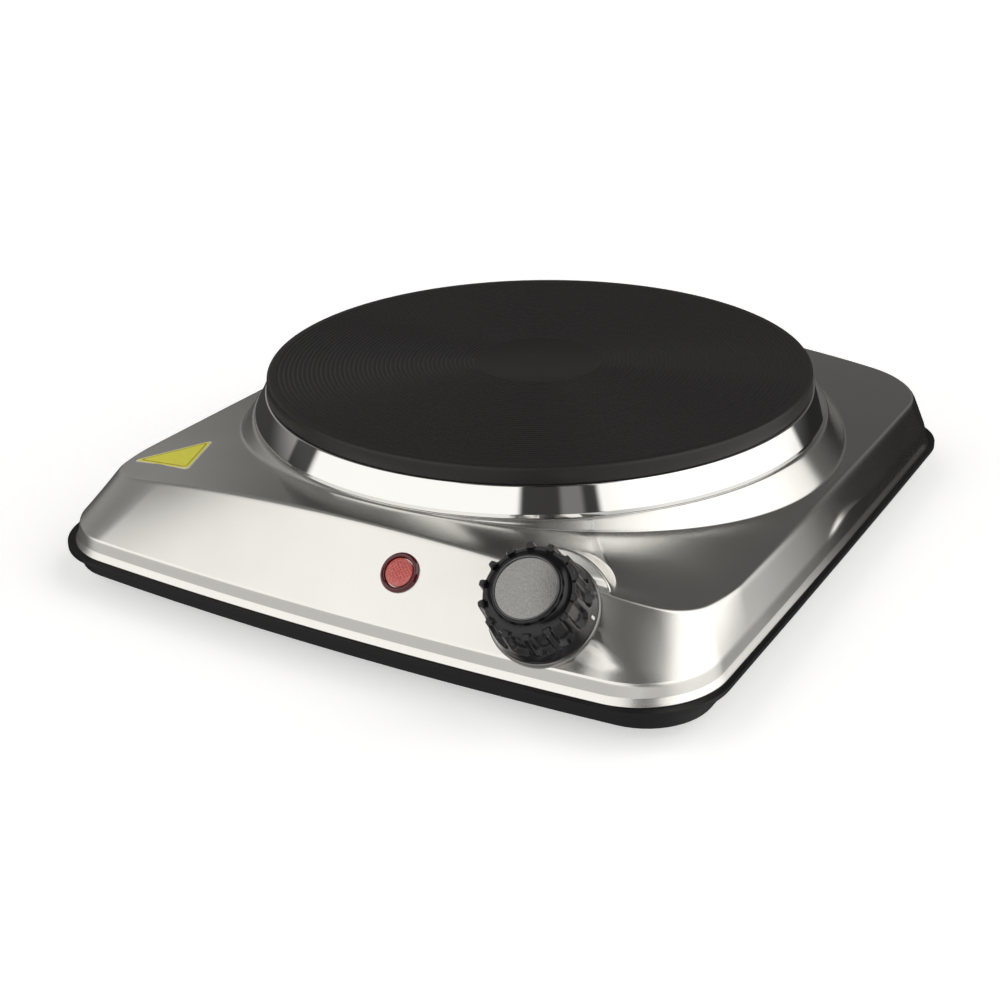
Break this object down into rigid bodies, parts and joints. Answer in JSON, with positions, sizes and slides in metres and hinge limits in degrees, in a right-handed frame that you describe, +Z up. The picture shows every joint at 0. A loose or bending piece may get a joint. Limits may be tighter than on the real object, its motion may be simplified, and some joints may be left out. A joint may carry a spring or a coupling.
{
  "type": "hot plate burner",
  "caption": "Countertop hot plate: brushed steel housing with sloped front panel, round cast-iron plate in a polished ring, fluted heat knob and red pilot light.",
  "frame": {"origin": "centre of the whole footprint, on the surface the feet stand on", "axes": "+X to the right seen from the front, +Y to the back, +Z up"},
  "size_m": [0.236, 0.253, 0.055],
  "materials": {
    "shell_steel": "brushed along the front, clear of prints",
    "tray_black": "satin black enamel",
    "foot_rubber": "matt",
    "plate_iron": "matt black coating, fine turned grooves",
    "ring_chrome": "mirror polished",
    "gasket_fibre": "pressed mineral fibre",
    "coil_steel": "heat-darkened sheath",
    "ceramic": "unglazed steatite",
    "plain_steel": "zinc plated",
    "aluminised": "aluminised sheet",
    "brass": "plain",
    "silver_contact": "polished",
    "knob_black": "satin black phenolic",
    "knob_cap_silver": "fine-textured disc",
    "bezel_bright": "bright thin ring",
    "lamp_red": "clear red",
    "lens_red": "prismatic clear red",
    "lamp_glass": "clear glass",
    "label_yellow": "plain printed film",
    "black_plastic": "moulded",
    "lead_sleeve": "braided glass-fibre sleeve"
  },
  "bodies": {
    "base": {"housing_shell": "shell_steel", "base_tray": "tray_black", "foot_front_left": "foot_rubber", "foot_front_right": "foot_rubber", "foot_rear_left": "foot_rubber", "foot_rear_right": "foot_rubber", "foot_screws": "plain_steel", "fixing_posts": "plain_steel", "base_screws": "plain_steel", "heating_plate": "plate_iron", "spill_ring": "ring_chrome", "ring_gasket": "gasket_fibre", "element_coil_inner": "coil_steel", "element_coil_outer": "coil_steel", "element_terminals": "ceramic", "element_cover": "aluminised", "mounting_bridge": "plain_steel", "centre_stud": "plain_steel", "stud_washer": "plain_steel", "stud_nut": "plain_steel", "heat_shield": "aluminised", "thermal_cutout": "black_plastic", "thermostat_frame": "plain_steel", "thermostat_spacers": "ceramic", "fixed_blade": "brass", "moving_blade": "brass", "bimetal_blade": "plain_steel", "contact_points": "silver_contact", "stack_screw": "plain_steel", "thermostat_bushing": "brass", "bushing_nut": "plain_steel", "knob_bezel": "bezel_bright", "indicator_holder": "lamp_red", "indicator_lens": "lens_red", "neon_lamp": "lamp_glass", "indicator_clip": "plain_steel", "cord_gland": "black_plastic", "gland_nut": "black_plastic", "mains_terminal_block": "ceramic", "terminal_screws": "plain_steel", "surface_label": "label_yellow", "lead_live": "lead_sleeve", "lead_cutout": "lead_sleeve", "lead_element": "lead_sleeve", "lead_neutral": "lead_sleeve", "lead_earth": "lead_sleeve", "lamp_leads": "lead_sleeve", "coil_links": "plain_steel"},
    "knob": {"control_shaft": "plain_steel", "knob_body": "knob_black", "knob_ring": "knob_black", "knob_cap": "knob_cap_silver"},
    "adjuster": {"adjuster_pin": "ceramic"}
  },
  "joints": [
    {"name": "knob_turn", "type": "hinge", "parent": "base", "child": "knob", "pos_m": [0.0677, -0.10654, 0.0311], "axis": [-0.0583, 0.6666, -0.7431], "range_deg": [0, 280]},
    {"name": "adjuster_slide", "type": "slide", "parent": "base", "child": "adjuster", "axis": [-0.0583, 0.6666, -0.7431], "range_m": [0, 0.001]}
  ],
  "couplings": [
    {"joint": "adjuster_slide", "follows": "knob_turn", "m_per_rad": 0.0002}
  ]
}
